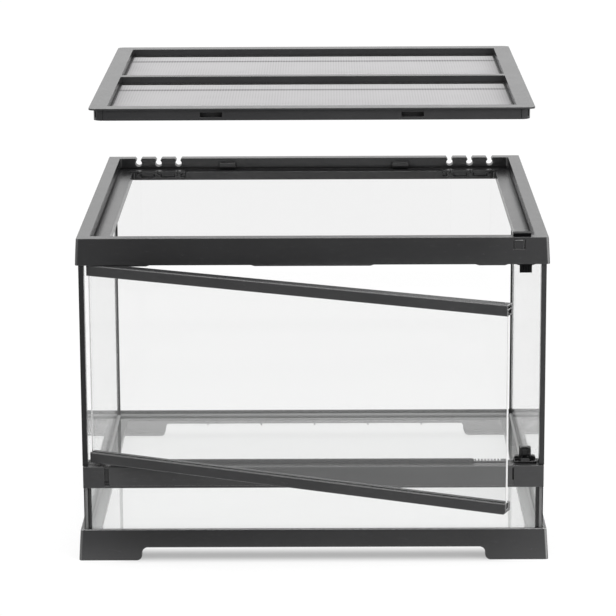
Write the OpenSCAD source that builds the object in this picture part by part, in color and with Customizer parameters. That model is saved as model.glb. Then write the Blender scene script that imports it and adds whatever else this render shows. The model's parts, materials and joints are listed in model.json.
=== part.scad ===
// Front-opening glass terrarium: glass tank in a moulded base and top frame, one side-hung front door
// between channel rails, a ventilated crossbar below it, two latches and a lift-off screen lid.
// Origin: centre of the footprint on the floor. X to the right, Y to the back, Z up.

/* [Glass box] */
// Outside width of the glass box
glass_w = 450; // [370:5:600]
// Outside depth of the glass box
glass_d = 450; // [360:5:600]
// Height from the floor to the rim
body_h = 322; // [260:1:500]
// Thickness of the wall panes
glass_t = 4; // [3:0.5:6]
// Thickness of the floor pane
floor_glass_t = 5; // [4:0.5:8]
// Silicone joint between two panes
glass_joint = 1; // [0.5:0.1:2]
// Radius of the silicone fillet in the upright corners
corner_bead_r = 1.8; // [1.5:0.1:6]
// Leg of the silicone fillet round the floor
floor_bead = 2; // [1.5:0.5:5]

/* [Base frame] */
// Height of the base frame
base_h = 31; // [26:1:60]
// Skirt thickness at the top edge of both frames
skirt_t = 3.3; // [2.4:0.1:5]
// Outward flare of the base skirt, each side
base_flare = 2; // [0.5:0.5:4]
// Width of the ledge under the floor pane
base_ledge_w = 15; // [12:1:40]
// Height of the floor pane's underside
floor_z = 21.5; // [18:0.5:30]
// Length of each foot along the skirt
foot_l = 56.5; // [30:0.5:90]
// Height of the arch between two feet
foot_h = 13; // [8:0.5:16]
// Radius of the foot's two curves
foot_r = 5.6; // [3:0.1:6]

/* [Top frame] */
// Height of the top frame
top_h = 26; // [22:1:50]
// Inward draft of the top skirt, each side
top_draft = 1.5; // [0.5:0.5:3]
// Width of the rim's flat top
rim_w = 12.25; // [11:0.25:18]
// Depth of the lid's seat below the rim
seat_depth = 12.5; // [11:0.5:16]
// Width of the seat ledge
seat_w = 15; // [12:1:25]
// Height of the ledge's hanging inner lip
seat_lip_h = 8.5; // [4:0.5:12]

/* [Cable notches] */
// Distance of each group's middle notch from the side of the rim
notch_inset = 55; // [54:1:70]
// Distance between notches
notch_pitch = 22; // [16:1:26]
// Radius of the round part
notch_r = 3.6; // [2.8:0.1:4]
// Width of the neck
notch_neck = 4.4; // [4.2:0.1:5]
// Width of the mouth at the rim
notch_mouth = 7.5; // [6:0.5:10]

/* [Crossbar] */
// Height of the crossbar's underside
bar_z = 73.5; // [60:0.5:120]
// Height of the crossbar's face
bar_h = 21.5; // [18:0.5:30]
// Depth of the crossbar, front to back
bar_d = 27; // [25:1:40]
// Width of the hinge cap at the left end
cap_left_w = 20.8; // [19:0.1:30]
// Width of the latch cap at the right end
cap_right_w = 29; // [28.5:0.5:36]
// Distance of the stop ridge's ends from the latch cap
ridge_inset = 37.5; // [10:0.5:80]
// Distance between vent slots
vent_pitch = 3.2; // [3:0.1:6]
// Width of a vent slot
vent_slot = 1.6; // [1:0.1:2]

/* [Door] */
// Height of the door rails
rail_h = 10.5; // [9:0.5:14]
// Depth of the door rails
rail_d = 12; // [11.5:0.5:14]
// Thickness of the door pane
door_glass_t = 4; // [3:0.5:5]
// Depth of the rails' glass slot
rail_slot = 5.5; // [4.5:0.5:6]
// Radius of the hinge pins
pin_r = 2; // [1.5:0.1:2.5]
// Angle at which the door is drawn open
door_ajar = 24.5; // [0:0.5:75]

/* [Lid] */
// Height at which the lid is drawn above its seat
lid_lift = 124; // [0:1:200]
// Height of the lid
lid_h = 12.2; // [11:0.1:16]
// Width of the lid's flat border
lid_border = 17; // [14:0.5:24]
// Overhang of the lid's flange past its skirt
lid_overhang = 4.3; // [3.5:0.1:6]
// Width of the lid's middle bar
lid_bar_w = 11.5; // [8:0.5:20]
// Depth of the screen below the lid's top
mesh_depth = 8.3; // [5:0.1:9]
// Thickness of the screen
mesh_t = 0.7; // [0.4:0.1:1.2]

/* [Fits] */
// Gap between a pane and the frame round it
glass_fit = 0.2; // [0.1:0.1:0.5]
// Radial clearance of pins and stems in their bores
bore_fit = 0.05; // [0.02:0.01:0.1]
// Gap round sliding latch pieces
slide_fit = 0.35; // [0.3:0.05:0.5]
// Gap round the lid in its seat
lid_fit = 1.1; // [0.8:0.1:2]
// Height at which the lid stops above its ledge
seat_gap = 0.1; // [0.05:0.05:0.3]

/* [Hidden] */
$fn = 48;

plastic = [0.13, 0.13, 0.14];
plastic_light = [0.17, 0.17, 0.18];
black = [0.02, 0.02, 0.02];
clear_glass = [0.82, 0.9, 0.88, 0.35];
silicone_black = [0.05, 0.05, 0.05];
screen_grey = [0.62, 0.62, 0.64];
steel = [0.7, 0.7, 0.72];
eps = 0.01;

// Half sizes: outer and inner faces of the glass, inside of both skirts
gx = glass_w / 2;
gy = glass_d / 2;
ix = gx - glass_t;
iy = gy - glass_t;
px = gx + glass_fit;
py = gy + glass_fit;
floor_top = floor_z + floor_glass_t;
base_ledge_t = 2.5;

// Top frame: half sizes of its outside, recess and opening, and its levels
top_z = body_h - top_h;
top_x = px + skirt_t - top_draft;
top_y = py + skirt_t - top_draft;
seat_x = top_x - rim_w;
seat_y = top_y - rim_w;
open_x = seat_x - seat_w;
open_y = seat_y - seat_w;
wall_t = 2.5;
rim_t = 2;
seat_z = body_h - seat_depth;
groove_x = gx - glass_t - glass_fit;
groove_y = gy - glass_t - glass_fit;
pane_top = seat_z + 1;
rib_h = 9.5;
lip_t = 2.5;
notch_x = top_x - notch_inset;
notch_land = 2 * notch_pitch + 19;
stop_t = 2.4;

// Crossbar levels and faces
bar_top = bar_z + bar_h;
bar_front = -(gy + 4);
bar_back = bar_front + bar_d;
cover_t = 1.8;
beam_front = bar_front + cover_t;
beam_t = 1.8;
deck_z = bar_top - cover_t;
pane_slot_z = bar_z + 10.7;
cap_left_x = -gx + cap_left_w;
cap_right_x = gx - cap_right_w;
pry_gap = 1.6;
cover_z = bar_z + 2.4;
vent_half = cap_right_x - 6;
vent_y0 = bar_back - 9;
vent_t = 1.8;
ridge_t = 2.2;
ridge_h = 5.1;

// Side trims on the front edges of the side panes
trim_t = 0.5;
trim_d = 11;
pane_front = -gy + trim_t;

// Door: hinge line, rails and free end, in the frame of the closed door
hinge_x = -ix + 11;
hinge_y = -gy + 5;
door_left = -rail_d / 2;
door_right = ix - 3 - hinge_x;
door_z0 = bar_top + 2.8;
door_z1 = top_z - 0.7;
glass_v = -3.6;
pin_seat = rail_h - rail_slot - 0.2;
chamber_v = 1.6;
chamber_w = 3.2;

// Latches at the right end of the door
bolt_t = 1.8;
bolt_x = gx - 25;
bolt_w = 11.8;
shank_w = 8.8;
rib_out = 0.35;
bolt_v = chamber_v + (chamber_w - bolt_t) / 2;
bolt_y = hinge_y + bolt_v;
bolt_drop = 10;
slab_w = 17;
slab_t = 3.5;
button_w = 9;
button_slit = 1.4;
button_h = 8.8;
button_x = gx - 26.2;
button_z = body_h - rim_t - 0.6 - button_h;
catch_x = gx - 17.5;
catch_y = bar_back - 10.4;
catch_w = 21.6;
catch_d = 17;
catch_t = 2;
catch_travel = 2.4;
stem_r = 3;
spring_r = 4.4;

// Lid sizes, seated and as drawn
lid_x = seat_x - lid_fit;
lid_y = seat_y - lid_fit;
skirt_x = lid_x - lid_overhang;
skirt_y = lid_y - lid_overhang;
field_x = lid_x - lid_border;
field_y = lid_y - lid_border;
flange_t = 1.6;
lid_wall = 2.4;
lid_lip = 4;
lid_z = seat_z + seat_gap + lid_lift;
lid_top = lid_z + lid_h;
mesh_z = lid_top - mesh_depth - mesh_t;
clip_x = 95.5;
clip_w = 17;
clip_z = body_h - 4.6;
clip_h = 4.2;

// A rectangle with round corners
module round_rect(w, d, r) {
    square([w - 2 * r, d], center = true);
    square([w, d - 2 * r], center = true);
    for (sx = [-1, 1], sy = [-1, 1])
        translate([sx * (w / 2 - r), sy * (d / 2 - r)]) circle(r);
}

// A block with round upright edges, standing on z
module round_block(w, d, h, r, z = 0) {
    translate([0, 0, z]) linear_extrude(h) round_rect(w, d, r);
}

// An upright frame between two half sizes
module ring(x1, y1, x0, y0, z0, z1, r1 = 2, r0 = 2) {
    difference() {
        round_block(2 * x1, 2 * y1, z1 - z0, r1, z0);
        round_block(2 * x0, 2 * y0, z1 - z0 + 2, r0, z0 - 1);
    }
}

// A block whose four sides lean, from half sizes at its foot to half sizes at its top
module leaning_block(x0, y0, x1, y1, h, r) {
    intersection() {
        rotate([90, 0, 0]) linear_extrude(2 * y0 + 2 * y1, center = true)
            polygon([[-x0, 0], [x0, 0], [x1, h], [-x1, h]]);
        rotate([90, 0, 90]) linear_extrude(2 * x0 + 2 * x1, center = true)
            polygon([[-y0, 0], [y0, 0], [y1, h], [-y1, h]]);
        round_block(2 * max(x0, x1), 2 * max(y0, y1), h, r);
    }
}

// The outline of the arch between two feet: flared at the floor, round at its shoulders
module arch(half) {
    difference() {
        union() {
            translate([-half, -1]) square([2 * half, foot_h + 1 - foot_r]);
            translate([0, foot_h - foot_r]) round_rect(2 * half, 2 * foot_r, foot_r - eps);
            translate([-half - foot_r, -1]) square([2 * (half + foot_r), foot_r + 1]);
        }
        for (s = [-1, 1])
            translate([s * (half + foot_r), foot_r]) circle(foot_r);
    }
}

// A run of thin ribs along X, between two ends
module ribs_x(from, to, count, y0, y1, z0, z1, t = 1.6) {
    step = (to - from) / (count - 1);
    for (i = [0:count - 1])
        translate([from + i * step - t / 2, y0, z0]) cube([t, y1 - y0, z1 - z0]);
}

// ---- Base ----

module base_frame() {
    sx = px + skirt_t;
    sy = py + skirt_t;
    half_arch_x = sx + base_flare - foot_l - foot_r;
    half_arch_y = sy + base_flare - foot_l - foot_r;
    ledge_z = floor_z - base_ledge_t;
    in_x = px - base_ledge_w;
    in_y = py - base_ledge_w;
    toe_w = 8;
    color(plastic) difference() {
        union() {
            difference() {
                leaning_block(sx + base_flare, sy + base_flare, sx, sy, base_h, 3);
                translate([-px, -py, -1]) cube([2 * px, 2 * py, base_h + 2]);
            }
            difference() {
                translate([-px - eps, -py - eps, ledge_z])
                    cube([2 * (px + eps), 2 * (py + eps), base_ledge_t]);
                round_block(2 * in_x, 2 * in_y, base_ledge_t + 2, 4, ledge_z - 1);
            }
            // inner rim that stiffens the ledge
            ring(in_x + 2, in_y + 2, in_x, in_y, ledge_z - 3, ledge_z + eps, 6, 4);
            // ribs between skirt and ledge
            for (s = [0, 180]) rotate(s) {
                ribs_x(-in_x + 30, in_x - 30, 7, in_y, py + 1, foot_h + 1, ledge_z + eps);
                rotate(90) ribs_x(-in_y + 30, in_y - 30, 7, in_x, px + 1, foot_h + 1, ledge_z + eps);
            }
            // toes: a flange along the foot of each corner
            for (m = [0, 1], n = [0, 1]) mirror([m, 0, 0]) mirror([0, n, 0])
                linear_extrude(2.4) difference() {
                    translate([px - foot_l, py - foot_l]) square(foot_l + 1);
                    translate([px - foot_l - 1, py - foot_l - 1]) square(foot_l + 1 - toe_w);
                }
        }
        rotate([90, 0, 0]) linear_extrude(4 * gy, center = true) arch(half_arch_x);
        rotate([90, 0, 90]) linear_extrude(4 * gx, center = true) arch(half_arch_y);
    }
}

// ---- Glass and silicone ----

module pane(x0, x1, y0, y1, z0, z1) {
    color(clear_glass) translate([x0, y0, z0]) cube([x1 - x0, y1 - y0, z1 - z0]);
}

module floor_glass() {
    pane(-ix + glass_joint, ix - glass_joint, -iy + glass_joint, iy - glass_joint, floor_z, floor_top);
}

module left_glass() {
    pane(-gx, -ix, pane_front, gy, floor_z, pane_top);
}

module right_glass() {
    pane(ix, gx, pane_front, gy, floor_z, pane_top);
}

module rear_glass() {
    pane(-ix + glass_joint, ix - glass_joint, iy, gy, floor_z, pane_top);
}

module front_lower_glass() {
    pane(-ix + glass_joint, ix - glass_joint, -gy, -iy, floor_z, pane_slot_z - glass_fit);
}

// Joint round the floor pane, with a fillet on each side between the upright beads
module floor_silicone() {
    color(silicone_black) {
        difference() {
            translate([-ix, -iy, floor_z]) cube([2 * ix, 2 * iy, floor_glass_t]);
            translate([-ix + glass_joint, -iy + glass_joint, floor_z - 1])
                cube([2 * (ix - glass_joint), 2 * (iy - glass_joint), floor_glass_t + 2]);
        }
        for (s = [0, 1]) mirror([0, s, 0])
            translate([-ix + corner_bead_r, iy, floor_top]) rotate([90, 0, 90])
                linear_extrude(2 * (ix - corner_bead_r))
                    polygon([[0, 0], [0, floor_bead], [-floor_bead, 0]]);
        for (s = [0, 1]) mirror([s, 0, 0])
            translate([ix, iy - corner_bead_r, floor_top]) rotate([90, 0, 0])
                linear_extrude(2 * (iy - corner_bead_r))
                    polygon([[0, 0], [0, floor_bead], [-floor_bead, 0]]);
    }
}

// An upright bead in the rear left corner: a tongue between the panes and a hollow fillet inside
module corner_bead(fillet_top, tongue_top) {
    color(silicone_black) translate([-ix, iy, 0]) {
        translate([0, 0, floor_z]) cube([glass_joint, glass_t, tongue_top - floor_z]);
        translate([0, 0, floor_top]) linear_extrude(fillet_top - floor_top) difference() {
            translate([0, -corner_bead_r]) square(corner_bead_r);
            translate([corner_bead_r, -corner_bead_r]) circle(corner_bead_r);
        }
    }
}

module rear_bead() { corner_bead(seat_z - rib_h, pane_top); }
module front_bead() { mirror([0, 1, 0]) corner_bead(bar_z, bar_z); }

module silicone_rear_left() { rear_bead(); }
module silicone_rear_right() { mirror([1, 0, 0]) rear_bead(); }
module silicone_front_left() { front_bead(); }
module silicone_front_right() { mirror([1, 0, 0]) front_bead(); }

// A channel pushed over the front edge of a side pane, between crossbar and top frame
module edge_trim() {
    color(plastic) translate([0, 0, bar_top]) linear_extrude(top_z - bar_top) difference() {
        translate([-gx - trim_t, -gy - trim_t]) square([glass_t + 2 * trim_t, trim_d]);
        translate([-gx, pane_front]) square([glass_t, trim_d]);
    }
}

module edge_trim_left() { edge_trim(); }
module edge_trim_right() { mirror([1, 0, 0]) edge_trim(); }

// ---- Crossbar ----

// Fixed beam between the caps: grips the lower pane, carries the vent and the cover
module crossbar_beam() {
    slot_back = -iy + glass_fit;
    z0 = bar_z + 2;
    groove_z = cover_z + 2;
    window_n = 8;
    window_l = (2 * vent_half) / window_n;
    color(plastic) difference() {
        translate([cap_left_x, 0, 0]) rotate([90, 0, 90]) linear_extrude(cap_right_x - cap_left_x)
            polygon([
                [bar_front, bar_z], [-gy - glass_fit, bar_z], [-gy - glass_fit, pane_slot_z],
                [slot_back, pane_slot_z], [slot_back, z0], [slot_back + beam_t, z0],
                [slot_back + beam_t, deck_z - beam_t], [bar_back - beam_t, deck_z - beam_t],
                [bar_back - beam_t, z0 + 4], [bar_back, z0 + 4], [bar_back, deck_z],
                [beam_front, deck_z], [beam_front, groove_z + 2], [beam_front + 0.9, groove_z + 1.4],
                [beam_front + 0.9, groove_z + 0.4], [beam_front, groove_z], [beam_front, cover_z - 0.15],
                [bar_front, cover_z - 0.15]
            ]);
        for (i = [0:window_n - 1])
            translate([-vent_half + (i + 0.5) * window_l - (window_l - 4) / 2, vent_y0 + 2, deck_z - 5])
                cube([window_l - 4, bar_back - beam_t - vent_y0 - 2, 10]);
    }
}

// Comb strip over the beam's windows: slots open to the back edge
module vent_grille() {
    n = floor(2 * (vent_half - 3) / vent_pitch);
    color(plastic_light) difference() {
        translate([-vent_half, vent_y0, deck_z]) cube([2 * vent_half, bar_back - vent_y0, vent_t]);
        for (i = [0:n - 1])
            translate([(i - (n - 1) / 2) * vent_pitch - vent_slot / 2, vent_y0 + 2.6, deck_z - 1])
                cube([vent_slot, bar_back - vent_y0, vent_t + 2]);
    }
}

// Raised ridge that the closed door shuts against, round at both ends
module stop_ridge() {
    color(plastic_light) translate([0, vent_y0 - 0.3, deck_z + ridge_h / 2]) rotate([90, 0, 0])
        linear_extrude(ridge_t) round_rect(2 * (cap_right_x - ridge_inset), ridge_h, ridge_h / 2 - 0.1);
}

// Snap-on cover: a face with round corners that stands on the beam's lip, a bead behind it that snaps
// in the beam's groove, and a top flange; a pry slot at each end
module crossbar_cover() {
    x0 = cap_left_x + 0.3;
    x1 = cap_right_x - 0.3;
    top_back = hinge_y + rail_d / 2 - 3.5;
    bead_z = cover_z + 2;
    color(plastic_light) intersection() {
        translate([x0, 0, 0]) rotate([90, 0, 90]) linear_extrude(x1 - x0)
            polygon([
                [bar_front, cover_z], [beam_front, cover_z], [beam_front, bead_z + 0.2],
                [beam_front + 0.7, bead_z + 0.6], [beam_front + 0.7, bead_z + 1.2],
                [beam_front, bead_z + 1.6], [beam_front, deck_z], [top_back, deck_z],
                [top_back, bar_top - 0.4], [top_back - 0.4, bar_top], [bar_front + 0.6, bar_top],
                [bar_front, bar_top - 0.6]
            ]);
        rotate([90, 0, 0]) linear_extrude(4 * gy, center = true) difference() {
            translate([0, (cover_z + bar_top) / 2]) round_rect(x1 - x0, bar_top - cover_z, 2.4);
            for (x = [x0, x1 - pry_gap])
                translate([x - 1 + (x == x0 ? 0 : 1), bar_top - 14.2]) square([pry_gap + 1, 12]);
        }
    }
}

// The outline that both caps share: a block notched round the side pane and the lower pane
module cap_body(w) {
    difference() {
        translate([-gx, bar_front, bar_z]) cube([w, bar_d, bar_h]);
        // side pane
        translate([-gx - 1, pane_front - glass_fit, bar_z - 1])
            cube([glass_t + glass_fit + 1, bar_d + 2, bar_h + 2]);
        // lower pane
        translate([-gx - 1, -gy - glass_fit, bar_z - 1])
            cube([w + 2, glass_t + 2 * glass_fit, pane_slot_z - bar_z + 1]);
        // hollow behind the panes, open below
        translate([-ix + glass_fit + 2, -iy + glass_fit + 2, bar_z - 1])
            cube([w - glass_t - glass_fit - 4, bar_back + iy - glass_fit - 4, pane_slot_z - bar_z + 1]);
    }
}

// Left cap: socket of the lower hinge pin
module crossbar_cap_left() {
    color(plastic) difference() {
        cap_body(cap_left_w);
        translate([hinge_x, hinge_y, pane_slot_z + 1]) cylinder(r = pin_r + bore_fit, h = bar_h);
    }
}

// Right cap: pocket, guide bore and spring seat of the door catch
module crossbar_cap_right() {
    color(plastic) difference() {
        mirror([1, 0, 0]) cap_body(cap_right_w);
        translate([catch_x - catch_w / 2 - slide_fit, catch_y - 8.5 - slide_fit, catch_floor])
            cube([catch_w + 2 * slide_fit, catch_d + 2 * slide_fit, bar_h]);
        translate([catch_x, catch_y, bar_z - 1]) cylinder(r = stem_r + bore_fit, h = bar_h);
        translate([catch_x, catch_y, spring_z]) cylinder(r = spring_r + 0.8, h = bar_h);
    }
}

catch_floor = bar_top - catch_travel - 0.3;
spring_z = pane_slot_z + 2.4;

// ---- Top frame ----

// Keyhole outline of a cable notch, its round centre at the origin and its mouth at the rim
module keyhole(to_rim) {
    circle(notch_r);
    translate([-notch_neck / 2, 0]) square([notch_neck, to_rim + 1]);
    polygon([
        [-notch_neck / 2, to_rim - 2.2], [notch_neck / 2, to_rim - 2.2],
        [notch_mouth / 2, to_rim + eps], [notch_mouth / 2, to_rim + 1],
        [-notch_mouth / 2, to_rim + 1], [-notch_mouth / 2, to_rim + eps]
    ]);
}

// Snap tab for the lid, under a slot of its skirt
module lid_tab() {
    reach = seat_y - skirt_y - 0.35;
    rotate([90, 0, 90]) linear_extrude(clip_w, center = true)
        polygon([
            [0.5, clip_z], [-reach, clip_z - 0.3], [-reach, clip_z - clip_h],
            [-reach + 2.2, seat_z + 0.4], [0.5, seat_z + 0.4]
        ]);
}

module top_frame() {
    stop_y = hinge_y + rail_d / 2 + 0.6;
    stop_z = door_z1 - 3.6;
    notch_z = body_h - 5.5;
    ledge_z = seat_z - wall_t;
    cheek_y = 4.2;
    color(plastic) difference() {
        union() {
            // skirt and rim
            difference() {
                translate([0, 0, top_z])
                    leaning_block(px + skirt_t, py + skirt_t, top_x, top_y, top_h, 3);
                translate([-px, -py, top_z - 1]) cube([2 * px, 2 * py, top_h + 1 - rim_t]);
                round_block(2 * seat_x, 2 * seat_y, 2 * rim_t + 2, 2, body_h - 2 * rim_t);
            }
            // wall round the seat, seat ledge, its hanging lip, and the rib inside the panes
            ring(seat_x + wall_t, seat_y + wall_t, seat_x, seat_y, seat_z - eps, body_h - rim_t + eps, 4, 2);
            ring(groove_x, groove_y, open_x, open_y, ledge_z, seat_z, 4, 3);
            ring(groove_x, groove_y, groove_x - lip_t, groove_y - lip_t, seat_z - rib_h, ledge_z + eps, 4, 2);
            ring(open_x + lip_t, open_y + lip_t, open_x, open_y, seat_z - seat_lip_h, ledge_z + eps, 5, 3);
            // solid lands round the cable notches
            for (s = [-1, 1])
                translate([s * notch_x - notch_land / 2, seat_y + eps, seat_z + 1 + glass_fit])
                    cube([notch_land, top_y - seat_y - 1, body_h - seat_z - 1 - glass_fit - rim_t + eps]);
            // boss of the upper hinge pin
            translate([hinge_x - 6.5, -py - eps, top_z + 0.5])
                cube([13, 2 * eps + py - groove_y + lip_t, seat_z - top_z - 0.5]);
            // stops behind the closed door: at the hinge, in the middle and on both sides of the bolt
            for (span = [
                [hinge_x + rail_d / 2, 68 - gx], [-60, 60], [gx - 68, gx - 35], [gx - 29.5, gx - 8.5]
            ])
                translate([0, stop_y + stop_t, 0]) rotate([90, 0, 0]) linear_extrude(stop_t)
                    polygon([
                        [span[0], ledge_z + eps], [span[0], stop_z + 1.3], [span[0] + 4, stop_z],
                        [span[1] - 4, stop_z], [span[1], stop_z + 1.3], [span[1], ledge_z + eps]
                    ]);
            // guide cheeks of the bolt
            for (x = [bolt_x - slide_fit - 2, bolt_x + bolt_w + slide_fit])
                translate([x, -py + cheek_y, top_z + 6])
                    cube([2, py - seat_y - cheek_y + eps, body_h - top_z - 6 - rim_t + eps]);
            for (s = [0, 180], x = [-clip_x, clip_x])
                rotate(s) translate([x, seat_y, 0]) lid_tab();
        }
        // undercut at the foot of the wall round the seat
        ring(seat_x + 1.3, seat_y + 1.3, seat_x - 1, seat_y - 1, seat_z, seat_z + 2.2, 3, 2);
        for (s = [-1, 1], i = [-1:1])
            translate([s * notch_x + i * notch_pitch, gy, notch_z]) rotate([90, 0, 0])
                linear_extrude(60, center = true) keyhole(body_h - notch_z);
        // upper hinge bore
        translate([hinge_x, hinge_y, top_z - 1]) cylinder(r = pin_r + bore_fit, h = 11);
        // passage of the bolt: wide below, narrow through the rim
        translate([bolt_x - slide_fit, bolt_y - rib_out - slide_fit, top_z - 1])
            cube([bolt_w + 2 * slide_fit, bolt_t + rib_out + 2 * slide_fit, top_h - rim_t + 1]);
        translate([bolt_x - slide_fit, bolt_y - slide_fit, top_z])
            cube([shank_w + 2 * slide_fit, bolt_t + 2 * slide_fit, top_h + 1]);
        // window of the lock button
        translate([button_x - button_w / 2 - button_slit, -py - skirt_t - 1, button_z - slide_fit])
            cube([button_w + 2 * button_slit, skirt_t + 2, button_h + 2 * slide_fit]);
    }
}

// A slit of even width along a path that turns at right angles
module slit(path, t) {
    for (i = [1:len(path) - 1]) {
        a = path[i - 1];
        b = path[i];
        translate([min(a.x, b.x) - t / 2, min(a.y, b.y) - t / 2])
            square([abs(a.x - b.x) + t, abs(a.y - b.y) + t]);
    }
}

// Clip plate below each group of notches: a strip on the ledge whose lip hangs over the ledge's edge
module inlet_clip(s) {
    w = notch_land - 3;
    lip_z = seat_z - seat_lip_h + 0.6;
    strip_y = skirt_y - lid_wall - 1;
    lip = 2;
    tongue = notch_pitch / 2 - 3.8;
    cut = 1.1;
    color(plastic) translate([s * notch_x, 0, 0]) difference() {
        union() {
            intersection() {
                translate([-w / 2, open_y - lip, lip_z]) cube([w, lip, seat_lip_h + 0.6]);
                translate([-s * notch_x - open_x + 4, 0, 0]) cube([2 * (open_x - 4), 2 * gy, 2 * body_h]);
            }
            translate([-w / 2, open_y - lip, seat_z]) cube([w, strip_y - open_y + lip, 1.2]);
        }
        // slots between the bridges, from the edge into the strip
        for (i = [-1:1])
            translate([i * notch_pitch - 0.6, open_y - lip - 1, seat_z - 2.6])
                cube([1.2, strip_y - open_y + lip - 0.8, 5]);
        // tongues in the lip: a slit round the foot of each, half a slit at both ends
        translate([0, open_y, seat_z]) rotate([90, 0, 0]) linear_extrude(3 * lip, center = true) {
            for (i = [-0.5, 0.5]) translate([i * notch_pitch, 0])
                slit([[-tongue, -2.2], [-tongue, -5.2], [tongue, -5.2], [tongue, -2.2]], cut);
            for (m = [0, 1]) mirror([m, 0]) translate([1.5 * notch_pitch, 0])
                slit([[0, -5.2], [-tongue, -5.2], [-tongue, -2.2], [2.5 - tongue, -2.2]], cut);
        }
    }
}

module inlet_clip_left() { inlet_clip(-1); }
module inlet_clip_right() { inlet_clip(1); }

// ---- Door, drawn in the closed door's frame and swung open ----

module swing() {
    translate([hinge_x, hinge_y, 0]) rotate(-door_ajar) children();
}

// A rail along the door: closed along one edge, a slot for the pane along the other
module rail_profile() {
    difference() {
        translate([-rail_d / 2, 0]) square([rail_d, rail_h]);
        translate([glass_v - glass_fit / 2, rail_h - rail_slot])
            square([door_glass_t + glass_fit, rail_slot + 1]);
        for (v = [-rail_d / 2, rail_d / 2])
            translate([v, 0]) rotate(45) square(0.8, center = true);
        for (v = [-rail_d / 2, rail_d / 2])
            translate([v, rail_h]) rotate(45) square(0.6, center = true);
    }
}

module rail_bar() {
    translate([door_left, 0, 0]) rotate([90, 0, 90])
        linear_extrude(door_right - door_left) rail_profile();
}

module door_glass() {
    edge = rail_h - rail_slot + 0.3;
    color(clear_glass) swing()
        translate([door_left + 0.8, glass_v, door_z0 + edge])
            cube([door_right - door_left - 1.6, door_glass_t, door_z1 - door_z0 - 2 * edge]);
}

module door_rail_top() {
    color(plastic) swing() difference() {
        translate([0, 0, door_z1]) mirror([0, 0, 1]) rail_bar();
        // slot for the bolt
        translate([bolt_x - hinge_x - 0.4, chamber_v, door_z1 - rail_h - 1])
            cube([bolt_w + 0.8, chamber_w, rail_h + 2]);
        translate([0, 0, door_z1 - pin_seat]) cylinder(r = pin_r, h = rail_h);
        // hollow free end: two cavities with a web between them, level with the pane slot's floor
        for (z = [[1.3, rail_h - rail_slot - 1.1], [rail_h - rail_slot, rail_h - 1.3]])
            translate([door_right - 4.5, 1.4 - rail_d / 2, door_z1 - z[1]])
                cube([5, rail_d - 2.8, z[1] - z[0]]);
    }
}

module door_rail_bottom() {
    color(plastic) swing() difference() {
        translate([0, 0, door_z0]) rail_bar();
        // keeper slot for the catch
        translate([catch_x - hinge_x - tooth_w / 2 - 0.6, tooth_y - hinge_y - 1.2, door_z0 - 1])
            cube([tooth_w + 1.2, tooth_d + 2.1, 3.2]);
        translate([0, 0, door_z0 - rail_h + pin_seat]) cylinder(r = pin_r, h = rail_h);
        translate([door_right, 0, door_z0]) rotate([0, 45, 0]) cube([3, 2 * rail_d, 3], center = true);
    }
}

module hinge_pin(z0, z1, tip) {
    swing() translate([0, 0, z0]) {
        translate([0, 0, tip > 0 ? 0 : 0.8]) cylinder(r = pin_r, h = z1 - z0 - 0.8);
        translate([0, 0, tip > 0 ? z1 - z0 - 0.8 : 0])
            cylinder(r1 = tip > 0 ? pin_r : pin_r - 0.6, r2 = tip > 0 ? pin_r - 0.6 : pin_r, h = 0.8);
    }
}

module hinge_pin_top() {
    color(steel) hinge_pin(door_z1 - pin_seat, top_z + 8.5, 1);
}

module hinge_pin_bottom() {
    color(steel) hinge_pin(pane_slot_z + 1.8, door_z0 + pin_seat, -1);
}

// ---- Latches ----

// Drop bolt: slab on the rim, shank through it, broad blade below that drops in the top rail
module top_bolt() {
    blade_top = top_z + 9.5;
    slab_x = bolt_x + shank_w / 2 - slab_w / 2 - 2.6;
    color(black) {
        translate([bolt_x, bolt_y, top_z - bolt_drop - 0.7])
            cube([bolt_w, bolt_t, blade_top - top_z + bolt_drop + 0.7]);
        translate([bolt_x, bolt_y, blade_top - eps]) cube([shank_w, bolt_t, body_h - blade_top + 1]);
        translate([slab_x, bolt_y - 6, body_h + 0.02]) round_slab(slab_w, bolt_t + 6.2, slab_t, 1.2);
        // finger ribs on the blade
        for (i = [0:3])
            translate([bolt_x + 1.3 + i * 2.7, bolt_y - rib_out, top_z - bolt_drop])
                cube([1, rib_out + 0.1, 8.5]);
    }
}

module round_slab(w, d, h, r) {
    translate([w / 2, d / 2, 0]) round_block(w, d, h, r);
}

// Square lock button between two slits in the front of the top frame, held by a flange behind the skirt
module lock_button() {
    flange = button_w / 2 + button_slit + 0.9;
    face = -(py + skirt_t - top_draft * (button_z + button_h / 2 - top_z) / top_h) + 0.1;
    color(plastic_light) translate([button_x, 0, button_z + button_h / 2]) {
        translate([-button_w / 2, face, -button_h / 2]) cube([button_w, -py + 0.5 - face, button_h]);
        translate([-flange, -py + 0.35, -button_h / 2]) cube([2 * flange, 1.4, button_h]);
        translate([0, -py + 1.7, 0]) rotate([-90, 0, 0]) cylinder(r = 2, h = 0.7);
    }
}

tooth_w = 8;
tooth_d = 2.4;
tooth_y = hinge_y + 1.6;

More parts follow.
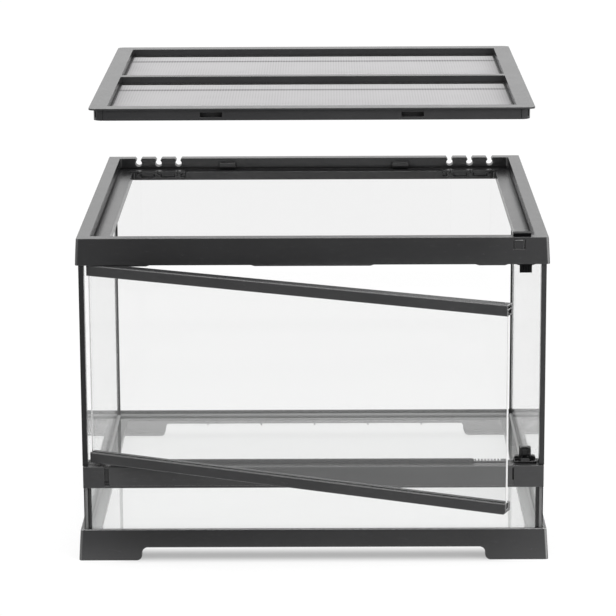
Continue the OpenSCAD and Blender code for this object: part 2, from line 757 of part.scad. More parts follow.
// Sprung door catch: foot plate with a tooth for the bottom rail, shoulders, finger block and stem
module bottom_catch() {
    block_w = 11.8;
    block_y = hinge_y + rail_d / 2 + 2.7;
    plate_y = catch_y - 8.5;
    plate_back = plate_y + catch_d;
    block_h = 11.4;
    shoulder_w = 5.2;
    shoulder_h = 4.7;
    color(black) {
        translate([catch_x - catch_w / 2, plate_y, bar_top + 0.05]) round_slab(catch_w, catch_d, catch_t, 2);
        translate([catch_x, 0, 0]) rotate([90, 0, 90]) linear_extrude(tooth_w, center = true)
            polygon([
                [tooth_y - 1.4, bar_top + 1], [tooth_y + tooth_d, bar_top + 1],
                [tooth_y + tooth_d, bar_top + catch_t + 2.4], [tooth_y + 0.9, bar_top + catch_t + 2.4],
                [tooth_y - 1.4, bar_top + catch_t]
            ]);
        difference() {
            translate([catch_x - block_w / 2, block_y, bar_top + 1])
                cube([block_w, plate_back - block_y, block_h + catch_t - 1]);
            // finger hollow, clipped top corners and grooves of the grip
            translate([catch_x - 3.2, block_y - 1, bar_top + catch_t + block_h - 2.2]) cube([6.4, 3, 4]);
            for (s = [-1, 1]) translate([catch_x + s * block_w / 2, 0, 0]) {
                translate([-0.9, block_y - 1, bar_top + catch_t + block_h - 1.4]) cube([1.8, 3.2, 3]);
                translate([-s * block_w / 4 - 0.6, block_y - 1, bar_top + catch_t + 2])
                    cube([1.2, 1.5, block_h - 4.2]);
            }
        }
        // shoulders on both sides of the block
        for (s = [-1, 1])
            translate([catch_x + s * (catch_w - shoulder_w - 0.8) / 2, 0, bar_top + shoulder_h / 2])
                rotate([90, 0, 0]) translate([0, 0, 0.8 - plate_back])
                    linear_extrude(plate_back - block_y - 1.6) round_rect(shoulder_w, shoulder_h, 1.5);
        // stem with a snap head below its guide
        translate([catch_x, catch_y, pane_slot_z - 0.4]) cylinder(r = stem_r, h = bar_top - pane_slot_z + 1);
        translate([catch_x, catch_y, pane_slot_z - 2.4])
            cylinder(r1 = stem_r - 0.6, r2 = stem_r + 0.8, h = 2.1);
    }
}

// Helical spring round the catch's stem
spring_turns = 5;
spring_steps = 14;
wire_r = 0.45;
wire_sides = 6;

module catch_spring() {
    z0 = spring_z + wire_r + 0.05;
    h = bar_top - 0.05 - wire_r - z0;
    n = spring_turns * spring_steps;
    points = [for (i = [0:n], k = [0:wire_sides - 1])
        let (a = 360 * i / spring_steps, b = 360 * k / wire_sides, r = spring_r + wire_r * cos(b))
        [r * cos(a), r * sin(a), h * i / n + wire_r * sin(b)]];
    sides = [for (i = [0:n - 1], k = [0:wire_sides - 1])
        let (a = i * wire_sides, k2 = (k + 1) % wire_sides)
        [a + k, a + k2, a + wire_sides + k2, a + wire_sides + k]];
    ends = [[for (k = [wire_sides - 1:-1:0]) k], [for (k = [0:wire_sides - 1]) n * wire_sides + k]];
    color(steel) translate([catch_x, catch_y, z0]) polyhedron(points, concat(sides, ends));
}

// ---- Lid ----

// One of the two openings of the lid, -1 front and 1 rear: children are placed at its middle
field_d = field_y - lid_bar_w / 2;

module at_field(s) {
    translate([0, s * (lid_bar_w / 2 + field_d / 2), 0]) children();
}

module lid_frame() {
    inner = field_x + lid_wall;
    slot_z = lid_top - 6.9;
    color(plastic_light) difference() {
        union() {
            round_block(2 * lid_x, 2 * lid_y, flange_t, 6, lid_top - flange_t);
            ring(skirt_x, skirt_y, skirt_x - lid_wall, skirt_y - lid_wall, lid_z, lid_top - eps, 9, 7);
            // inner walls and middle bar, down to the screen's lip
            round_block(2 * inner, 2 * (field_y + lid_wall), mesh_depth + mesh_t + 1.6, 3, mesh_z - 1.6);
            // ribs between skirt and inner wall
            for (s = [0, 180]) rotate(s) {
                ribs_x(-field_x + 12, field_x - 12, 9, field_y + 1, skirt_y - 1, mesh_z, lid_top - 1);
                rotate(90)
                    ribs_x(-field_y + 12, field_y - 12, 9, field_x + 1, skirt_x - 1, mesh_z, lid_top - 1);
            }
            // pockets behind the slots
            for (s = [0, 180], x = [-clip_x - 1, clip_x + 1])
                rotate(s) translate([x, skirt_y - lid_wall - 2.2, slot_z])
                    cube([24, 4.6, 7.2], center = true);
        }
        for (s = [-1, 1]) at_field(s) {
            // opening above the screen, seat of the screen and the smaller opening in the lip
            round_block(2 * field_x, field_d, lid_h + 2, 1.5, mesh_z);
            round_block(2 * (field_x - lid_lip), field_d - 2 * lid_lip, lid_h, 2, mesh_z - 4);
        }
        // upright grooves beside the corners, and a finger recess in each corner of the front and the rear
        for (m = [0, 1], n = [0, 1]) mirror([m, 0, 0]) mirror([0, n, 0]) {
            translate([skirt_x - 9.5, skirt_y - 0.6, lid_z - 1]) cube([0.9, 2, lid_h]);
            translate([skirt_x - 3.6, skirt_y - 3.6, lid_top - flange_t - 8.1]) rotate(-45)
                cube([1.8, 6, 6.6]);
        }
        // slots for the tabs of the frame
        for (s = [0, 180], x = [-clip_x - 1, clip_x + 1])
            rotate(s) translate([x, skirt_y, slot_z]) cube([21.5, 10.8, 4.8], center = true);
    }
}

module lid_mesh(s) {
    color(screen_grey) at_field(s)
        round_block(2 * field_x - 0.4, field_d - 0.4, mesh_t, 1.3, mesh_z);
}

module lid_mesh_front() { lid_mesh(-1); }
module lid_mesh_rear() { lid_mesh(1); }

// Thin frame that traps the screen against its lip
module mesh_retainer(s) {
    color(plastic_light) at_field(s)
        ring(field_x - 0.1, field_d / 2 - 0.1, field_x - 1.7, field_d / 2 - 1.7, mesh_z + mesh_t,
            mesh_z + mesh_t + 1.2, 1.4, 1);
}

module mesh_retainer_front() { mesh_retainer(-1); }
module mesh_retainer_rear() { mesh_retainer(1); }

base_frame();
floor_glass();
left_glass();
right_glass();
rear_glass();
front_lower_glass();
floor_silicone();
silicone_rear_left();
silicone_rear_right();
silicone_front_left();
silicone_front_right();
edge_trim_left();
edge_trim_right();
crossbar_beam();
crossbar_cover();
crossbar_cap_left();
crossbar_cap_right();
vent_grille();
stop_ridge();
top_frame();
inlet_clip_left();
inlet_clip_right();
catch_spring();
door_glass();
door_rail_top();
door_rail_bottom();
hinge_pin_top();
hinge_pin_bottom();
top_bolt();
lock_button();
bottom_catch();
lid_frame();
lid_mesh_front();
lid_mesh_rear();
mesh_retainer_front();
mesh_retainer_rear();
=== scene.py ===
"""Front-opening glass terrarium: finishes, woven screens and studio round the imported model."""

import json
import math

import bmesh
import bpy
from bpy.props import FloatProperty, FloatVectorProperty, PointerProperty
from bpy.types import Operator, Panel, PropertyGroup
from mathutils import Euler, Matrix, Vector


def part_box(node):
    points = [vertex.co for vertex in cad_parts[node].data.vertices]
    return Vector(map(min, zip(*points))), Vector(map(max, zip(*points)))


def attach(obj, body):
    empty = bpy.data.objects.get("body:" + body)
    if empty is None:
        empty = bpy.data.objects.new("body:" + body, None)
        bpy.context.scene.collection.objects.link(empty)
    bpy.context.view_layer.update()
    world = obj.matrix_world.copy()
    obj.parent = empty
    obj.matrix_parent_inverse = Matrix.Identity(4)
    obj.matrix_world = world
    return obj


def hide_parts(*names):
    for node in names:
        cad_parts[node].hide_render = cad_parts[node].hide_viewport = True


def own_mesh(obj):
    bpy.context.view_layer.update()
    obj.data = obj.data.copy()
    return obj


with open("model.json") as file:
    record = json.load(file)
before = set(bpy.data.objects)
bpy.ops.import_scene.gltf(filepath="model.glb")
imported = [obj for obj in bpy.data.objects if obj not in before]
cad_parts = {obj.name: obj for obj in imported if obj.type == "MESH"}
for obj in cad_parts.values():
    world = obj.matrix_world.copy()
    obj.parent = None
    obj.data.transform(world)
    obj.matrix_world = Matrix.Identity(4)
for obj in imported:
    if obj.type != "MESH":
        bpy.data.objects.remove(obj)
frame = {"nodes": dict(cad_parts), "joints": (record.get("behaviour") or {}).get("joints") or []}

bl_info = {
    "name": "Glass Terrarium",
    "version": (1, 0, 0),
    "blender": (4, 5, 0),
    "location": "View3D > Sidebar > Terrarium",
    "description": "Finishes a glass terrarium with a moulded frame and a screen lid",
    "category": "Object",
}

MM = 0.001
X, Y, Z = (1, 0, 0), (0, 1, 0), (0, 0, 1)
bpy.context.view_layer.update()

EDGE_NODES = ("edge_trim_left", "edge_trim_right")
CLIP_NODES = ("inlet_clip_left", "inlet_clip_right")
RIDGE_NODES = ("vent_grille", "stop_ridge")
RAIL_NODES = ("door_rail_top", "door_rail_bottom")
BAR_NODES = ("crossbar_beam", "crossbar_cap_left", "crossbar_cap_right")
RETAINER_NODES = ("mesh_retainer_front", "mesh_retainer_rear")
SEAL_NODES = (
    "silicone_rear_left", "silicone_rear_right", "silicone_front_left", "silicone_front_right")
PIN_NODES = ("hinge_pin_top", "hinge_pin_bottom")
SCREENS = {"lid_mesh_front": "woven_screen_front", "lid_mesh_rear": "woven_screen_rear"}


# ---- Node trees written as Python expressions ----


class Wire:
    """A socket that arithmetic can be written on; each operation adds one Math node."""

    def __init__(self, graph, socket):
        self.graph = graph
        self.socket = socket

    def math(self, operation, *others, clamp=False):
        settings = {"operation": operation, "use_clamp": clamp}
        sockets = dict(enumerate((self, *others)))
        return self.graph.node("ShaderNodeMath", settings, sockets)

    def __add__(self, other):
        return self.math("ADD", other)

    def __sub__(self, other):
        return self.math("SUBTRACT", other)

    def __mul__(self, other):
        return self.math("MULTIPLY", other)

    def __rsub__(self, other):
        return self.graph.node("ShaderNodeMath", {"operation": "SUBTRACT"}, {0: other, 1: self})

    __radd__ = __add__
    __rmul__ = __mul__

    def clamped(self):
        return self.math("ADD", 0.0, clamp=True)

    def absolute(self):
        return self.math("ABSOLUTE")

    def either(self, other):
        return self.math("MAXIMUM", other)

    def ramp(self, low, high, to_low=0.0, to_high=1.0):
        """Runs smoothly from one value at low to another at high."""
        sockets = {
            "Value": self, "From Min": low, "From Max": high, "To Min": to_low, "To Max": to_high}
        return self.graph.node(
            "ShaderNodeMapRange", {"interpolation_type": "SMOOTHSTEP"}, sockets)

    def fall(self, low, high):
        """Runs smoothly from 1 at low to 0 at high."""
        return self.ramp(low, high, 1.0, 0.0)


class Graph:
    """A material's or a world's node tree."""

    def __init__(self, owner):
        owner.use_nodes = True
        self.owner = owner
        self.tree = owner.node_tree
        self.tree.nodes.clear()

    def node(self, kind, settings=None, sockets=None, output=0):
        """Adds a node, sets it, then fills its sockets with values or links; gives one output."""
        made = self.tree.nodes.new(kind)
        for name, value in (settings or {}).items():
            setattr(made, name, value)
        for name, value in (sockets or {}).items():
            socket = made.inputs[name]
            if isinstance(value, Wire):
                self.tree.links.new(value.socket, socket)
            else:
                socket.default_value = value
        return Wire(self, made.outputs[output]) if made.outputs else made

    def place(self):
        """Where the surface point is on the piece, in metres."""
        return self.node("ShaderNodeTexCoord", output="Object")

    def dot(self, first, second):
        """The dot product of two vectors."""
        settings = {"operation": "DOT_PRODUCT"}
        return self.node("ShaderNodeVectorMath", settings, {0: first, 1: second}, "Value")

    def along(self, axis):
        """How far the surface point lies along an axis of its piece, in metres."""
        return self.dot(self.place(), axis)

    def facing(self, axis):
        """How squarely a face looks along an axis of its piece: 1 along it, 0 at a right angle."""
        return self.dot(self.node("ShaderNodeTexCoord", output="Normal"), axis).absolute()

    def noise(self, size, detail=2.0, roughness=0.5, stretch=None):
        """Noise from 0 to 1 whose features are about size across."""
        at = self.place()
        if stretch:
            at = self.node("ShaderNodeVectorMath", {"operation": "MULTIPLY"}, {0: at, 1: stretch})
        sockets = {"Vector": at, "Scale": 1 / size, "Detail": detail, "Roughness": roughness}
        return self.node("ShaderNodeTexNoise", {"noise_dimensions": "3D"}, sockets)

    def mix(self, factor, first, second, blend="MIX"):
        """A colour between two colours."""
        settings = {"data_type": "RGBA", "blend_type": blend}
        return self.node("ShaderNodeMix", settings, {"Factor": factor, 6: first, 7: second}, 2)

    def openness(self, distance):
        """1 on open faces, falling to 0 at the bottom of grooves narrower than the distance."""
        settings = {"samples": 3}
        return self.node("ShaderNodeAmbientOcclusion", settings, {"Distance": distance}, "AO")

    def bump(self, height, depth, strength=1.0, under=None):
        """A normal raised by height, which runs from 0 to 1, over a depth in metres."""
        sockets = {"Height": height, "Distance": depth, "Strength": strength}
        if under:
            sockets["Normal"] = under
        return self.node("ShaderNodeBump", None, sockets)

    def principled(self, **sockets):
        named = {name.replace("_", " "): value for name, value in sockets.items()}
        return self.node("ShaderNodeBsdfPrincipled", None, named)

    def blend(self, factor, first, second):
        """A shader between two shaders."""
        return self.node("ShaderNodeMixShader", None, {0: factor, 1: first, 2: second})

    def glow(self, colour, strength):
        return self.node("ShaderNodeEmission", None, {"Color": colour, "Strength": strength})

    def ray(self, kind):
        """1 for rays of a kind."""
        return self.node("ShaderNodeLightPath", output=f"Is {kind} Ray")

    def finish(self, shader, kind="ShaderNodeOutputMaterial"):
        self.node(kind, None, {"Surface": shader})
        return self.owner


def grey(level):
    return (level, level, level, 1.0)


def rgba(colour):
    return (*colour, 1.0)


# ---- Finishes ----

# A moulding's slow waves and its scuffs: size in metres, weight in the colour
CLOUD_SIZE, CLOUD_TONE = 60 * MM, 0.16
SCUFF_SIZE, SCUFF_TONE = 12 * MM, 0.1
# What grain, scuffs, rounded edges and grooves do to its roughness
GRAIN_ROUGH, SCUFF_ROUGH, EDGE_ROUGH, HOLLOW_ROUGH = 0.08, 0.1, 0.08, 0.5
# The grain's share of the fine relief, how strongly that shows, and the waves' depth and strength
GRAIN_SHARE, GRAIN_STRENGTH = 0.6, 0.55
SAG_DEPTH, SAG_STRENGTH = 0.25 * MM, 0.5
# How far a rounded normal has left its face where an edge's painted highlight begins and where it
# is full
EDGE_SPAN = (0.02, 0.25)
# How far it points up where the painted highlight is least and greatest, and its least share there
RISE_SPAN, LEAST_HIGHLIGHT = (0.1, 0.6), 0.25
# The painted edge highlight's greatest share in the colour
HIGHLIGHT_SHARE = 0.8
# How closed in a groove is where its painted shade begins and is full, and that shade's grey
HOLLOW_SPAN, HOLLOW_SHADE_GREY = (0.3, 0.85), 0.002
# How squarely a face looks up or down where it stops being upright, and where it is level
UPRIGHT_SPAN, LEVEL_SPAN = (0.5, 0.8), (0.9, 0.99)

# Distances from the tank's middle, in metres, between which the corners' painted sheen sets in
SHEEN_SPAN = (0.155, 0.228)
# Distances before an upright corner between which its painted highlight line begins and ends
LINE_START, LINE_END = (0.2 * MM, 0.7 * MM), (1.6 * MM, 2.8 * MM)
# Distances across the tank between which that painted highlight line grows, fainter on the left,
# and its strength at each
LINE_STRENGTH = (-0.1, 0.1, 0.3, 1.0)
# Grey of the painted highlight line, times the sheen
LINE_GREY = 0.17
# Distances from the middle between which the walls that hold the panes begin and end; these walls
# are lighter as painted light
WALL_START, WALL_END = (0.2246, 0.225), (0.2262, 0.2266)
# Grey of the walls' painted light
WALL_GREY = 0.17
# Distances behind the middle between which the rear's deeper painted groove shade sets in
REAR_SPAN = (0.16, 0.19)
# Half the thickness of the pale bed of painted light, and how it dulls from the front to the rear
BED_SPAN = (0.3 * MM, 0.6 * MM)
BED_FADE = (-0.2, 0.05)
BED_FRONT, BED_REAR = 0.75, 0.26


def upright(graph):
    """1 on upright faces, 0 on level ones."""
    return graph.facing(Z).fall(*UPRIGHT_SPAN)


def corner_sheen(graph):
    """Rises from 0 on the broad faces to 1 toward a frame's upright corners: the mask of a painted
    sheen.
    """
    aside = graph.along(X).absolute().ramp(*SHEEN_SPAN)
    ahead = graph.along(Y).absolute().ramp(*SHEEN_SPAN)
    return aside * ahead


def corner_highlight(graph):
    """A painted highlight: a fine line on a frame's front and rear walls, just before each upright
    corner, fainter on the left.
    """
    across = graph.along(X)
    before = graph.along(Y).absolute() - across.absolute()
    near = before.fall(*LINE_END) * before.ramp(*LINE_START)
    return near * across.ramp(*LINE_STRENGTH) * upright(graph)


def inner_wall(graph):
    """1 on a frame's walls that stand against the panes, where painted light lightens them."""
    aside = graph.along(X).absolute()
    out = graph.along(Y).absolute().either(aside)
    return out.fall(*WALL_END) * out.ramp(*WALL_START) * upright(graph)


def bedded(graph, lit_and_shaded, bed):
    """A frame's colour with painted light: a pale bed at a height and lighter walls above it."""
    height = graph.along(Z)
    under = (height - bed).absolute().fall(*BED_SPAN)
    pale = graph.mix(graph.along(Y).ramp(*BED_FADE), grey(BED_FRONT), grey(BED_REAR))
    lit_and_shaded = graph.mix(under * graph.facing(Z).ramp(*LEVEL_SPAN), lit_and_shaded, pale)
    return graph.mix(inner_wall(graph) * height.ramp(bed, bed + MM), lit_and_shaded, grey(WALL_GREY))


def moulded_plastic(name, colour, settings, gloss=0.0, ior=1.5, edge_highlight=0.16, groove=None,
                    radius=None, sheen=None, bed=None, softened=None):
    """Fine-grained moulding with slow waves and scuffs, edges paler by a painted highlight and
    grooves dark by painted shade.

    sheen multiplies the colour toward upright corners as a painted sheen and adds a painted
    highlight line by each corner, bed is the height of a pale bed of painted light under a pane,
    and softened is the share of the grooves' painted shade that is kept away from the rear.
    """
    graph = Graph(bpy.data.materials.new(name))
    grain = graph.noise(settings.grain, detail=3.0)
    cloud = graph.noise(CLOUD_SIZE)
    scuff = graph.noise(SCUFF_SIZE, detail=5.0, roughness=0.65, stretch=(1.0, 1.0, 3.0))
    rounding = {"Radius": radius or settings.edge_radius}
    smooth = graph.node("ShaderNodeBevel", {"samples": 4}, rounding)
    flat = graph.node("ShaderNodeNewGeometry", output="Normal")
    edge = (1.0 - graph.dot(smooth, flat)).ramp(*EDGE_SPAN)
    tone = (cloud - 0.5) * CLOUD_TONE + (scuff - 0.5) * SCUFF_TONE
    body = graph.mix((tone + 0.5).clamped(), grey(0.0), grey(2.0))
    shade = graph.mix(1.0, rgba(colour), body, "MULTIPLY")
    # Painted sheen toward the upright corners and a painted highlight line by each
    if sheen:
        shade = graph.mix(corner_sheen(graph), shade, rgba([c * sheen for c in colour]))
        shade = graph.mix(corner_highlight(graph), shade, grey(sheen * LINE_GREY))
    # Painted highlight: edges are paler, most where they point up
    rise = graph.dot(smooth, Z).ramp(*RISE_SPAN, LEAST_HIGHLIGHT, 1.0)
    highlit = rgba([min(c + edge_highlight, 1.0) for c in colour])
    lit_and_shaded = graph.mix(edge * rise * HIGHLIGHT_SHARE, shade, highlit)
    # Painted shade: grooves darken toward their bottoms, found by ambient occlusion
    hollow = 1.0 - graph.openness(groove or settings.groove)
    dark = hollow.ramp(*HOLLOW_SPAN)
    if softened:
        dark = dark * graph.along(Y).ramp(*REAR_SPAN, softened, 1.0)
    lit_and_shaded = graph.mix(dark, lit_and_shaded, grey(HOLLOW_SHADE_GREY))
    # Painted light: a pale bed under the pane and lighter walls above it
    if bed:
        lit_and_shaded = bedded(graph, lit_and_shaded, bed)
    speckle = (grain - 0.5) * GRAIN_ROUGH + (scuff - 0.5) * SCUFF_ROUGH
    rough = speckle - edge * EDGE_ROUGH + hollow * HOLLOW_ROUGH + (settings.roughness - gloss)
    relief = grain * GRAIN_SHARE + scuff * (1 - GRAIN_SHARE)
    normal = graph.bump(relief, settings.grain_depth, GRAIN_STRENGTH, smooth)
    sag = graph.bump(cloud, SAG_DEPTH, SAG_STRENGTH, normal)
    shader = graph.principled(Base_Color=lit_and_shaded, Roughness=rough, IOR=ior, Normal=sag)
    return graph.finish(shader)


# Where a pane's face turns into its ground rim, and that rim's grinding marks
RIM_SPAN = (0.75, 0.45)
GROUND_SIZE, GROUND_DEPTH = 0.6 * MM, 0.05 * MM
RIM_ROUGH, GROUND_ROUGH = 0.28, 0.15
JOINT_SPREAD, JOINT_GREY = 0.4 * MM, 0.01


def float_glass(name, normal, settings, edge, tint, top_shade=None, ior=1.5, joint=None):
    """Clear pane with ground edges; a painted shade darkens its top, and from a distance aside it
    is dark.
    """
    graph = Graph(bpy.data.materials.new(name))
    rim = graph.facing(normal).ramp(*RIM_SPAN)
    ground = graph.noise(GROUND_SIZE)
    face = rgba(tint)
    # Painted shade: the pane's top is darker
    if top_shade:
        face = graph.mix(graph.along(Z).ramp(*settings.top_shade_span), face, rgba(top_shade))
    if joint:
        beyond = graph.along(X).absolute().ramp(joint, joint + JOINT_SPREAD)
        face = graph.mix(beyond, face, grey(JOINT_GREY))
    colour = graph.mix(rim, face, rgba(edge))
    rough = rim * (RIM_ROUGH + ground * GROUND_ROUGH)
    relief = graph.bump(ground * rim, GROUND_DEPTH)
    pane = graph.principled(
        Base_Color=colour, Roughness=rough, Transmission_Weight=1.0, IOR=ior, Normal=relief)
    clear = graph.node("ShaderNodeBsdfTransparent", None, {"Color": rgba(settings.lamp_tint)})
    soft = graph.ray("Shadow").either(graph.ray("Diffuse"))
    return graph.finish(graph.blend(soft, pane, clear))


# Silicone's finger marks and its fine grain
DRAG_SIZE, FINE_SIZE, DRAG_SHARE = 9 * MM, 1.2 * MM, 0.8
SEALANT_DEPTH, SEALANT_STRENGTH, SEALANT_IOR = 0.2 * MM, 0.6, 1.41
# How squarely a joint looks aside where its paler run begins and is full
SIDE_SPAN = (0.2, 0.5)


def sealant(name, low, high, aside=None):
    """Tooled silicone: soft gloss with long finger marks, and paler runs along the sides."""
    graph = Graph(bpy.data.materials.new(name))
    drag = graph.noise(DRAG_SIZE, detail=3.0, stretch=(1.0, 1.0, 0.15))
    fine = graph.noise(FINE_SIZE)
    colour = graph.mix(drag, grey(low), grey(high))
    if aside:
        colour = graph.mix(graph.facing(X).ramp(*SIDE_SPAN), colour, grey(aside))
    marks = drag * DRAG_SHARE + fine * (1 - DRAG_SHARE)
    relief = graph.bump(marks, SEALANT_DEPTH, SEALANT_STRENGTH)
    shader = graph.principled(
        Base_Color=colour, Roughness=0.3 + drag * 0.15, IOR=SEALANT_IOR, Normal=relief)
    return graph.finish(shader)


# Marks of a grinding wheel or a drawing die
MARK_SIZE = 0.8 * MM


def ground_seam(name, low, high):
    """Band on a pane's edge: frosted by grinding on the side panes, and on the door's free edge a
    pale painted highlight.
    """
    graph = Graph(bpy.data.materials.new(name))
    wheel = graph.noise(MARK_SIZE, stretch=(1.0, 1.0, 4.0))
    colour = graph.mix(wheel, grey(low), grey(high))
    shader = graph.principled(Base_Color=colour, Roughness=0.35 + wheel * 0.2, IOR=1.5)
    return graph.finish(shader)


def drawn_steel(name):
    """Bright drawn wire and pins."""
    graph = Graph(bpy.data.materials.new(name))
    drawn = graph.noise(MARK_SIZE, stretch=(1.0, 1.0, 0.1))
    colour = graph.mix(drawn, grey(0.42), grey(0.62))
    shader = graph.principled(Base_Color=colour, Roughness=0.22 + drawn * 0.15, Metallic=1.0)
    return graph.finish(shader)


# The screen's blotches, specks and drift: sizes, and the weight of the first two in the tone
BLOTCH_SIZE, SPECK_SIZE, DRIFT_SIZE = 20 * MM, 0.9 * MM, 50 * MM
BLOTCH_TONE = 0.1
# How much the tone swings from wire to wire where it drifts least, and how much more elsewhere
SWING_LEAST, SWING_DRIFT = 0.04, 0.08
WIRE_TONE = 0.94
# Width of the darker band set in from each screen's rear edge, and how much darker it is
DARK_BAND_WIDTH, DARK_BAND_STRENGTH = 9 * MM, 0.55


def screen_wire(name, settings, rear_edge, dark_band):
    """Pale coated wire whose tone swings from wire to wire, drifts and darkens in a band set in
    from the rear edge.
    """
    graph = Graph(bpy.data.materials.new(name))
    speck = graph.noise(SPECK_SIZE, detail=1.0)
    blotch = graph.noise(BLOTCH_SIZE) * 0.6 + speck * 0.4
    swing = (graph.along(X) * (math.pi / settings.pitch)).math("SINE")
    drift = graph.noise(DRIFT_SIZE).ramp(0.35, 0.65)
    band_mask = (rear_edge - graph.along(Y) - dark_band).absolute().fall(0.0, DARK_BAND_WIDTH)
    tone = blotch * BLOTCH_TONE + swing * (drift * SWING_DRIFT + SWING_LEAST)
    pale = tone + WIRE_TONE - band_mask * DARK_BAND_STRENGTH
    colour = graph.mix(pale, grey(0.0), rgba(settings.colour))
    return graph.finish(graph.principled(Base_Color=colour, Roughness=0.45 + speck * 0.15))


def dress(nodes, material):
    """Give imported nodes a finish."""
    for name in nodes:
        for slot in frame["nodes"][name].material_slots:
            slot.material = material


# ---- Settings ----


def colour_of(name, description, default):
    """A colour that shows in the panel's settings."""
    return FloatVectorProperty(
        name=name, description=description, default=default, min=0.0, max=1.0, subtype="COLOR")


class TerrariumPlastics(PropertyGroup):
    frame_colour: colour_of(
        "Frame", "Colour of the frames, edge trims, clips and lock button", (0.023, 0.023, 0.0238))
    rail_colour: colour_of(
        "Rails", "Colour of the door's rails, the crossbar's beam and caps", (0.047, 0.047, 0.048))
    trim_colour: colour_of("Trim", "Colour of the crossbar's cover", (0.057, 0.057, 0.058))
    ridge_colour: colour_of(
        "Ridge", "Colour of the stop ridge and the vent grille", (0.085, 0.085, 0.086))
    lid_colour: colour_of("Lid", "Colour of the lid's frame", (0.034, 0.034, 0.0352))
    latch_colour: colour_of(
        "Latches", "Colour of the bolt, the catch and the retainers", (0.0035, 0.0035, 0.004))
    roughness: FloatProperty(
        name="Roughness", description="Mean roughness of the mouldings", default=0.25,
        min=0.05, max=1.0, subtype="FACTOR")
    grain: FloatProperty(
        name="Grain", description="Size of the mould's grain", default=0.0004,
        min=0.0001, unit="LENGTH")
    grain_depth: FloatProperty(
        name="Grain depth", description="Depth of the mould's grain", default=0.00003,
        min=0.0, unit="LENGTH")
    # Width up to which the painted shade darkens grooves
    groove: FloatProperty(
        name="Groove", description="Width up to which a groove stays dark", default=0.006,
        min=0.0, unit="LENGTH")
    edge_radius: FloatProperty(
        name="Edge radius", description="Radius of the softened edges", default=0.0008,
        min=0.0, unit="LENGTH")


class TerrariumGlass(PropertyGroup):
    tint: colour_of(
        "Tint", "Colour of the left pane and the floor seen squarely", (0.957, 0.96, 0.958))
    # The right pane is tinted darker than the left as painted shade
    right_tint_and_shade: colour_of(
        "Right tint", "Colour of the right pane seen squarely", (0.72, 0.722, 0.721))
    lower_tint: colour_of(
        "Lower tint", "Colour of the lower front pane seen squarely", (0.922, 0.924, 0.923))
    rear_tint: colour_of("Rear tint", "Colour of the rear pane seen squarely", (1.0, 1.0, 1.0))
    # The rear pane's top is darker as painted shade
    top_shade: colour_of("Film", "Colour of the rear pane's top", (0.868, 0.868, 0.868))
    top_shade_span: FloatVectorProperty(
        name="Film span", description="Heights between which the film sets in",
        default=(0.199, 0.231), size=2, unit="LENGTH")
    joint: FloatProperty(
        name="Joint", description="Where the dark of the lower pane's joints begins",
        default=0.2174, unit="LENGTH")
    door_tint: colour_of(
        "Door tint", "Colour of the door's pane seen squarely", (0.878, 0.88, 0.879))
    edge_tint: colour_of("Edge", "Colour of a fixed pane's ground edge", (0.3, 0.32, 0.3))
    door_edge: colour_of("Door edge", "Colour of the door pane's polished edge", (0.9, 0.91, 0.905))
    lamp_tint: colour_of("Lamp tint", "What a pane passes of a lamp", (0.91, 0.915, 0.912))


class TerrariumScreen(PropertyGroup):
    colour: colour_of("Colour", "Colour of the screen's wire", (0.514, 0.507, 0.514))
    pitch: FloatProperty(
        name="Pitch", description="Distance between two wires", default=0.0014,
        min=0.0008, unit="LENGTH")
    wire: FloatProperty(
        name="Wire", description="Diameter of the wire", default=0.0003,
        min=0.0001, unit="LENGTH")
    # How far in from the rear edge the screen's darker band lies, as a share of its depth
    dark_band: FloatProperty(
        name="Crease", description="Where the crease lies, as a share of the screen's depth",
        default=0.19, min=0.0, max=1.0, subtype="FACTOR")


class TerrariumStudio(PropertyGroup):
    camera_place: FloatVectorProperty(
        name="Camera", description="Where the camera stands", default=(0.0146, -2.9884, 0.8874),
        subtype="TRANSLATION", unit="LENGTH")
    camera_pitch: FloatProperty(
        name="Pitch", description="How far the camera looks down",
        default=math.radians(12.935), unit="ROTATION")
    camera_yaw: FloatProperty(
        name="Yaw", description="How far the camera turns left",
        default=math.radians(0.393), unit="ROTATION")
    camera_roll: FloatProperty(
        name="Roll", description="How far the camera tips",
        default=math.radians(-0.286), unit="ROTATION")
    lens: FloatProperty(
        name="Lens", description="Focal length of the camera", default=171.67, unit="CAMERA")
    key_power: FloatProperty(
        name="Key", description="Power of the left softbox", default=17.0, unit="POWER")
    fill_power: FloatProperty(
        name="Fill", description="Power of the right softbox", default=20.0, unit="POWER")
    top_power: FloatProperty(
        name="Top", description="Power of the overhead softbox", default=30.0, unit="POWER")
    back_power: FloatProperty(
        name="Back", description="Power of the low rear softbox", default=2.2, unit="POWER")
    surround: FloatProperty(
        name="Surround", description="Level of the room's even light", default=0.62,
        min=0.0, max=2.0)
    ahead: FloatProperty(
        name="Ahead", description="Level of the room's dark side in a gloss", default=0.15,
        min=0.0, max=1.0)
    astern: FloatProperty(
        name="Astern", description="Level of the room behind the tank in a gloss", default=0.84,
        min=0.0, max=1.0)


# ---- Pieces ----

# How far a seam strip stands off its pane's edge, and how much narrower it is on each side
SEAM_RISE = 0.35 * MM
DOOR_SEAM_INSET = 0.3 * MM
SIDE_SEAM_INSETS = {"left": (1.3 * MM, 0.2 * MM), "right": (0.2 * MM, 1.3 * MM)}
ROD_SIDES = 4


def joint_of(name):
    return next(joint for joint in frame["joints"] if joint["name"] == name)


def door_angle():
    """How far the door stands open, from its joint's lower limit."""
    return math.radians(joint_of("door_hinge")["range_deg"][0])


def door_frame():
    """The hinge's place and the turn of the drawn door about it."""
    return Vector(joint_of("door_hinge")["pos_m"]), Matrix.Rotation(door_angle(), 3, "Z")


